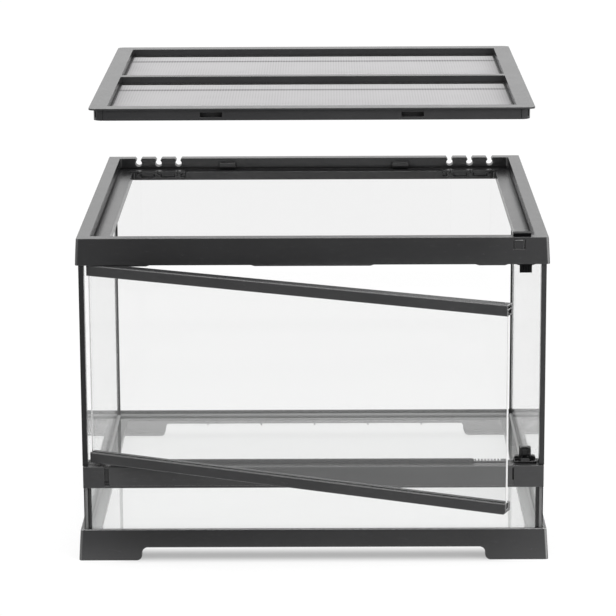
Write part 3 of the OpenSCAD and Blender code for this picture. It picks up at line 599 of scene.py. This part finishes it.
def box_in(node, turn, place):
    """A piece's box in a turned frame."""
    points = [turn.inverted() @ (node.matrix_world @ v.co - place) for v in node.data.vertices]
    return (Vector([min(p[i] for p in points) for i in range(3)]),
            Vector([max(p[i] for p in points) for i in range(3)]))


def new_piece(name, mesh, material):
    mesh.name = name
    mesh.materials.append(material)
    piece = bpy.data.objects.new(name, mesh)
    bpy.context.scene.collection.objects.link(piece)
    return piece


def mesh_from(work):
    """A mesh from finished bmesh work."""
    mesh = bpy.data.meshes.new("work")
    work.to_mesh(mesh)
    work.free()
    return mesh


def slab_mesh(low, high):
    """A closed box between two corners."""
    work = bmesh.new()
    bmesh.ops.create_cube(work, size=1.0)
    size = high - low
    for vert in work.verts:
        vert.co = low + Vector([size[i] * (vert.co[i] + 0.5) for i in range(3)])
    return mesh_from(work)


def woven(low, high, pitch, wire):
    """Wires along X lying on wires along Y, inside a flat box."""
    work = bmesh.new()
    radius = wire / 2
    middle = (low.z + high.z) / 2
    for axis in (0, 1):
        across = 1 - axis
        count = int((high[across] - low[across] - 2 * radius) / pitch)
        first = (low[across] + high[across] - (count - 1) * pitch) / 2
        for i in range(count):
            start = Vector((low.x, low.y, middle + (radius if axis == 0 else -radius)))
            end = Vector(start)
            start[across] = end[across] = first + i * pitch
            end[axis] = high[axis]
            add_rod(work, start, end, radius)
    return mesh_from(work)


def add_rod(work, start, end, radius):
    """A closed straight rod between two points."""
    up = Vector(Z)
    side = (end - start).normalized().cross(up).normalized()
    rings = []
    for point in (start, end):
        ring = []
        for k in range(ROD_SIDES):
            turn = 2 * math.pi * k / ROD_SIDES
            offset = radius * (math.cos(turn) * side + math.sin(turn) * up)
            ring.append(work.verts.new(point + offset))
        rings.append(ring)
    for k in range(ROD_SIDES):
        after = (k + 1) % ROD_SIDES
        work.faces.new((rings[0][k], rings[0][after], rings[1][after], rings[1][k]))
    work.faces.new(rings[0][::-1])
    work.faces.new(rings[1])


class TERRARIUM_OT_mould_frames(Operator):
    """Give the frames, inlet clips, crossbar and door rails their dark moulding"""

    bl_idname = "terrarium.mould_frames"
    bl_label = "Mould Frames"

    def execute(self, context):
        plastics = context.scene.terrarium_plastics
        frames, rails = plastics.frame_colour, plastics.rail_colour
        # The paler edges are a painted highlight, the corners' sheen and the pale bed are painted
        # light, and the dark in grooves is painted shade
        dress(EDGE_NODES, moulded_plastic("frame_moulding", frames, plastics, ior=1.53))
        dress(CLIP_NODES, moulded_plastic("clip_moulding", frames, plastics, groove=0.012))
        top = moulded_plastic(
            "top_moulding", frames, plastics, ior=1.53, edge_highlight=0.3, sheen=1.25, softened=0.2)
        dress(["top_frame"], top)
        base = moulded_plastic(
            "base_moulding", frames, plastics, ior=1.53, edge_highlight=0.95, groove=0.0015,
            radius=0.0016, sheen=1.6, bed=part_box("floor_glass")[0].z)
        dress(["base_frame"], base)
        dress(BAR_NODES, moulded_plastic("bar_moulding", rails, plastics, edge_highlight=0.3))
        rail = moulded_plastic("rail_moulding", rails, plastics, edge_highlight=0.9, radius=0.0012)
        dress(RAIL_NODES, rail)
        return {"FINISHED"}


class TERRARIUM_OT_mould_trim(Operator):
    """Give the crossbar's cover, the vent, the ridge, the lid and the button their moulding"""

    bl_idname = "terrarium.mould_trim"
    bl_label = "Mould Trim"

    def execute(self, context):
        plastics = context.scene.terrarium_plastics
        cover = moulded_plastic("trim_moulding", plastics.trim_colour, plastics)
        dress(["crossbar_cover"], cover)
        # The button's pale edges are a painted highlight
        button = moulded_plastic(
            "button_moulding", plastics.frame_colour, plastics, edge_highlight=1.6, groove=0.0002,
            radius=0.0009)
        dress(["lock_button"], button)
        ridge = moulded_plastic(
            "ridge_moulding", plastics.ridge_colour, plastics, edge_highlight=0.3, groove=0.001)
        dress(RIDGE_NODES, ridge)
        lid = moulded_plastic("lid_moulding", plastics.lid_colour, plastics, ior=1.38)
        dress(["lid_frame"], lid)
        retainer = moulded_plastic("retainer_moulding", plastics.latch_colour, plastics)
        dress(RETAINER_NODES, retainer)
        return {"FINISHED"}


class TERRARIUM_OT_mould_latches(Operator):
    """Give the bolt its dull black moulding and the catch its glossy one"""

    bl_idname = "terrarium.mould_latches"
    bl_label = "Mould Latches"

    def execute(self, context):
        plastics = context.scene.terrarium_plastics
        black = plastics.latch_colour
        bolt = moulded_plastic("bolt_moulding", black, plastics, gloss=-0.1, ior=1.12)
        dress(["top_bolt"], bolt)
        dress(["bottom_catch"], moulded_plastic("catch_moulding", black, plastics, gloss=0.14))
        return {"FINISHED"}


class TERRARIUM_OT_glaze(Operator):
    """Give every pane clear faces and ground edges"""

    bl_idname = "terrarium.glaze"
    bl_label = "Glaze"

    def execute(self, context):
        glass = context.scene.terrarium_glass
        ajar = door_angle()
        door_normal = (-math.sin(ajar), math.cos(ajar), 0)
        edge = glass.edge_tint
        panes = {
            "left_glass": (X, edge, glass.tint, {}),
            "floor_glass": (Z, edge, glass.tint, {"ior": 1.4}),
            # The right pane's darker tint is painted shade
            "right_glass": (X, edge, glass.right_tint_and_shade, {"ior": 1.08}),
            "rear_glass": (Y, edge, glass.rear_tint, {"ior": 1.25, "top_shade": glass.top_shade}),
            "front_lower_glass": (Y, edge, glass.lower_tint, {"joint": glass.joint}),
            "door_glass": (door_normal, glass.door_edge, glass.door_tint, {}),
        }
        for node, (normal, rim, tint, more) in panes.items():
            dress([node], float_glass(f"{node}_finish", normal, glass, rim, tint, **more))
        return {"FINISHED"}


class TERRARIUM_OT_seam_door(Operator):
    """Lay a pale strip on the free edge of the door's pane, as a painted highlight"""

    bl_idname = "terrarium.seam_door"
    bl_label = "Seam Door"

    def execute(self, context):
        place, turn = door_frame()
        low, high = box_in(frame["nodes"]["door_glass"], turn, place)
        bottom = box_in(frame["nodes"]["door_rail_bottom"], turn, place)[1].z
        top = box_in(frame["nodes"]["door_rail_top"], turn, place)[0].z
        mesh = slab_mesh(
            Vector((high.x, low.y + DOOR_SEAM_INSET, bottom)),
            Vector((high.x + SEAM_RISE, high.y - DOOR_SEAM_INSET, top)))
        mesh.transform(Matrix.Translation(place) @ turn.to_4x4())
        # The pale strip is a painted highlight on the door's edge
        piece = new_piece("door_seam", mesh, ground_seam("ground_seam", 0.6, 0.75))
        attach(piece, "door")
        return {"FINISHED"}


class TERRARIUM_OT_seam_sides(Operator):
    """Lay the dull ground seams on the side panes' front edges below the crossbar"""

    bl_idname = "terrarium.seam_sides"
    bl_label = "Seam Sides"

    def execute(self, context):
        finish = ground_seam("dull_seam", 0.1, 0.2)
        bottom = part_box("base_frame")[1].z
        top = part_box("crossbar_cap_left")[0].z
        for side, (from_left, from_right) in SIDE_SEAM_INSETS.items():
            low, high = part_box(f"{side}_glass")
            mesh = slab_mesh(
                Vector((low.x + from_left, low.y - SEAM_RISE, bottom)),
                Vector((high.x - from_right, low.y, top)))
            piece = new_piece(f"{side}_edge_seam", mesh, finish)
            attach(piece, "tank")
        return {"FINISHED"}


class TERRARIUM_OT_seal(Operator):
    """Give the glass joints their tooled silicone and the hinge pins their steel"""

    bl_idname = "terrarium.seal"
    bl_label = "Seal"

    def execute(self, context):
        dress(SEAL_NODES, sealant("tooled_silicone", 0.008, 0.02))
        dress(["floor_silicone"], sealant("floor_joint", 0.28, 0.32, aside=0.42))
        dress(PIN_NODES, drawn_steel("drawn_steel"))
        return {"FINISHED"}


class TERRARIUM_OT_wind_spring(Operator):
    """Give the catch's spring a steel piece of its own in place of the imported one"""

    bl_idname = "terrarium.wind_spring"
    bl_label = "Wind Spring"

    def execute(self, context):
        node = frame["nodes"]["catch_spring"]
        low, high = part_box("catch_spring")
        mesh = node.data.copy()
        mesh.materials.clear()
        piece = new_piece("wound_spring", mesh, drawn_steel("wound_steel"))
        piece.matrix_world = node.matrix_world
        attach(piece, "tank")
        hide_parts("catch_spring")
        travel = max(map(abs, joint_of("bottom_catch_press")["range_m"]))
        keep = 1 - travel / (high.z - low.z)
        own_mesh(piece)
        return {"FINISHED"}


class TERRARIUM_OT_weave_screens(Operator):
    """Weave the lid's two screens from crossing wires"""

    bl_idname = "terrarium.weave_screens"
    bl_label = "Weave Screens"

    def execute(self, context):
        screen = context.scene.terrarium_screen
        for node, name in SCREENS.items():
            low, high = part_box(node)
            dark_band = screen.dark_band * (high.y - low.y)
            finish = screen_wire(f"{name}_wire", screen, high.y, dark_band)
            piece = new_piece(name, woven(low, high, screen.pitch, screen.wire), finish)
            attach(piece, "lid")
            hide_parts(node)
        return {"FINISHED"}


# ---- Studio ----

FLOOR_RADIUS = 9.0
# Distances from the tank's middle: where the floor's paper turns into its even glow, and the strip
# of painted shadow below the front edge
GLOW_SPAN = (0.21, 0.36)
SHADE_BEGIN, SHADE_END, SHADE_ASIDE = (0.188, 0.213), (0.217, 0.243), (0.17, 0.205)
# Grey of the painted shadow
SHADE_GREY = 0.5
PAPER_GREY, PAPER_GLOW, FAR_GLOW = 0.9, 1.12, 1.02
GLOW_SHARE = 0.7
# The floor ahead of the tank, as it shows in a gloss: where it darkens, and from left to right
DARK_AHEAD, DARK_ASIDE = (0.23, 0.38), (-0.45, 0.45)
DARK_LEFT, DARK_RIGHT = 0.02, 0.7
# Directions between which the room's sides ahead and astern set in, as cosines
ROOM_AHEAD, ROOM_ASTERN = (0.75, 0.97), (0.8, 0.96)
AIM = (0, 0, 0.2)
# Each softbox's place, aim and size in metres, its power's setting, and whether a gloss shows it
SOFTBOXES = {
    "softbox_left": ((-2.2, -2.0, 1.5), AIM, (1.4, 1.8), "key_power", True),
    "softbox_right": ((1.5, -1.5, 0.9), AIM, (0.9, 1.4), "fill_power", False),
    "softbox_top": ((0, 0.2, 2.6), AIM, (2.0, 2.0), "top_power", True),
    "softbox_back": ((0, 2.6, 1.1), (0, 0, 0.35), (2.6, 0.7), "back_power", True),
}


def softbox(name, place, target, size, power, mirrored):
    lamp = bpy.data.lights.new(name, "AREA")
    lamp.shape = "RECTANGLE"
    lamp.size, lamp.size_y = size
    lamp.energy = power
    holder = bpy.data.objects.new(name, lamp)
    holder.location = place
    holder.rotation_mode = "QUATERNION"
    holder.rotation_quaternion = (Vector(target) - Vector(place)).to_track_quat("-Z", "Y")
    holder.visible_camera = False
    holder.visible_transmission = False
    holder.visible_glossy = mirrored
    bpy.context.scene.collection.objects.link(holder)


def ray_kinds(graph):
    """1 for rays seen straight, through glass or in its mirror images; 1 for rays in a gloss."""
    mirrored = graph.ray("Singular")
    gloss = graph.ray("Glossy") * (1.0 - mirrored)
    return graph.ray("Camera").either(graph.ray("Transmission")).either(mirrored), gloss


def stage_floor():
    """Paper with a painted soft shadow below the tank's front edge, glowing evenly further out;
    dark ahead in a gloss.
    """
    work = bmesh.new()
    bmesh.ops.create_circle(work, cap_ends=True, segments=96, radius=FLOOR_RADIUS)
    graph = Graph(bpy.data.materials.new("studio_floor"))
    seen, gloss = ray_kinds(graph)
    ahead = graph.dot(graph.place(), (0, -1, 0))
    aside = graph.along(X).absolute()
    away = ahead.absolute().either(aside).ramp(*GLOW_SPAN)
    # Painted shadow: a strip of shade on the floor below the tank's front edge
    below = ahead.ramp(*SHADE_BEGIN) * ahead.fall(*SHADE_END) * aside.fall(*SHADE_ASIDE)
    shade = graph.mix(below, grey(1.0), grey(SHADE_GREY))
    paper_colour = graph.mix(1.0, grey(PAPER_GREY), shade, "MULTIPLY")
    paper = graph.node("ShaderNodeBsdfDiffuse", None, {"Color": paper_colour})
    unlit = graph.mix(graph.along(X).ramp(*DARK_ASIDE), grey(DARK_LEFT), grey(DARK_RIGHT))
    shaded = graph.blend(GLOW_SHARE, paper, graph.glow(shade, PAPER_GLOW))
    stage = graph.blend(away, shaded, graph.glow(grey(1.0), FAR_GLOW))
    lit = graph.blend(seen.either(gloss), paper, stage)
    lit = graph.blend(ahead.ramp(*DARK_AHEAD) * gloss, lit, graph.glow(unlit, 1.0))
    floor = new_piece("studio_floor", mesh_from(work), graph.finish(lit))


def stage_world(level, ahead, astern):
    """White room, even and dimmer as a light; in a gloss dark ahead and duller astern."""
    world = bpy.data.worlds.new("studio_world")
    graph = Graph(world)
    seen, gloss = ray_kinds(graph)
    direction = graph.node("ShaderNodeTexCoord", output="Generated")
    front = graph.dot(direction, (0, -1, 0)).ramp(*ROOM_AHEAD)
    rear = graph.dot(direction, Y).ramp(*ROOM_ASTERN)
    room = graph.mix(front * gloss, grey(1.0), grey(ahead))
    room = graph.mix(rear * gloss, room, grey(astern))
    behind = graph.node("ShaderNodeBackground", None, {"Color": room, "Strength": 1.0})
    around = graph.node("ShaderNodeBackground", None, {"Color": grey(1.0), "Strength": level})
    graph.finish(graph.blend(seen.either(gloss), around, behind), "ShaderNodeOutputWorld")
    bpy.context.scene.world = world


def stage_camera(studio):
    view = bpy.data.cameras.new("camera")
    view.lens = studio.lens
    view.sensor_width = 36.0
    view.clip_start, view.clip_end = 0.05, 100.0
    camera = bpy.data.objects.new("camera", view)
    turn = Euler((math.pi / 2 - studio.camera_pitch, 0, studio.camera_yaw)).to_matrix()
    turn = turn @ Matrix.Rotation(studio.camera_roll, 3, "Z")
    camera.matrix_world = Matrix.Translation(studio.camera_place) @ turn.to_4x4()
    bpy.context.scene.collection.objects.link(camera)
    bpy.context.scene.camera = camera


class TERRARIUM_OT_studio(Operator):
    """Build the pale floor, the softboxes, the even surround and the camera"""

    bl_idname = "terrarium.studio"
    bl_label = "Studio"

    def execute(self, context):
        studio = context.scene.terrarium_studio
        stage_camera(studio)
        stage_floor()
        stage_world(studio.surround, studio.ahead, studio.astern)
        for name, (place, target, size, power, mirrored) in SOFTBOXES.items():
            softbox(name, place, target, size, getattr(studio, power), mirrored)
        context.scene.view_settings.view_transform = "Standard"
        return {"FINISHED"}


class TERRARIUM_PT_panel(Panel):
    """Steps of the terrarium, in order"""

    bl_idname = "TERRARIUM_PT_panel"
    bl_label = "Terrarium"
    bl_space_type = "VIEW_3D"
    bl_region_type = "UI"
    bl_category = "Terrarium"

    def draw(self, context):
        for step in STEPS:
            self.layout.operator(step.bl_idname)


STEPS = (
    TERRARIUM_OT_studio,
    TERRARIUM_OT_mould_frames,
    TERRARIUM_OT_mould_trim,
    TERRARIUM_OT_mould_latches,
    TERRARIUM_OT_glaze,
    TERRARIUM_OT_seam_door,
    TERRARIUM_OT_seam_sides,
    TERRARIUM_OT_seal,
    TERRARIUM_OT_wind_spring,
    TERRARIUM_OT_weave_screens,
)
GROUPS = {
    "terrarium_plastics": TerrariumPlastics,
    "terrarium_glass": TerrariumGlass,
    "terrarium_screen": TerrariumScreen,
    "terrarium_studio": TerrariumStudio,
}


def register():
    for group in GROUPS.values():
        bpy.utils.register_class(group)
    for step in (*STEPS, TERRARIUM_PT_panel):
        bpy.utils.register_class(step)
    for name, group in GROUPS.items():
        setattr(bpy.types.Scene, name, PointerProperty(type=group))


def unregister():
    for name in GROUPS:
        delattr(bpy.types.Scene, name)
    for step in (TERRARIUM_PT_panel, *reversed(STEPS)):
        bpy.utils.unregister_class(step)
    for group in reversed(GROUPS.values()):
        bpy.utils.unregister_class(group)


def main():
    register()
    for step in STEPS:
        namespace, name = step.bl_idname.split(".")
        getattr(getattr(bpy.ops, namespace), name)()


if __name__ == "__main__":
    main()
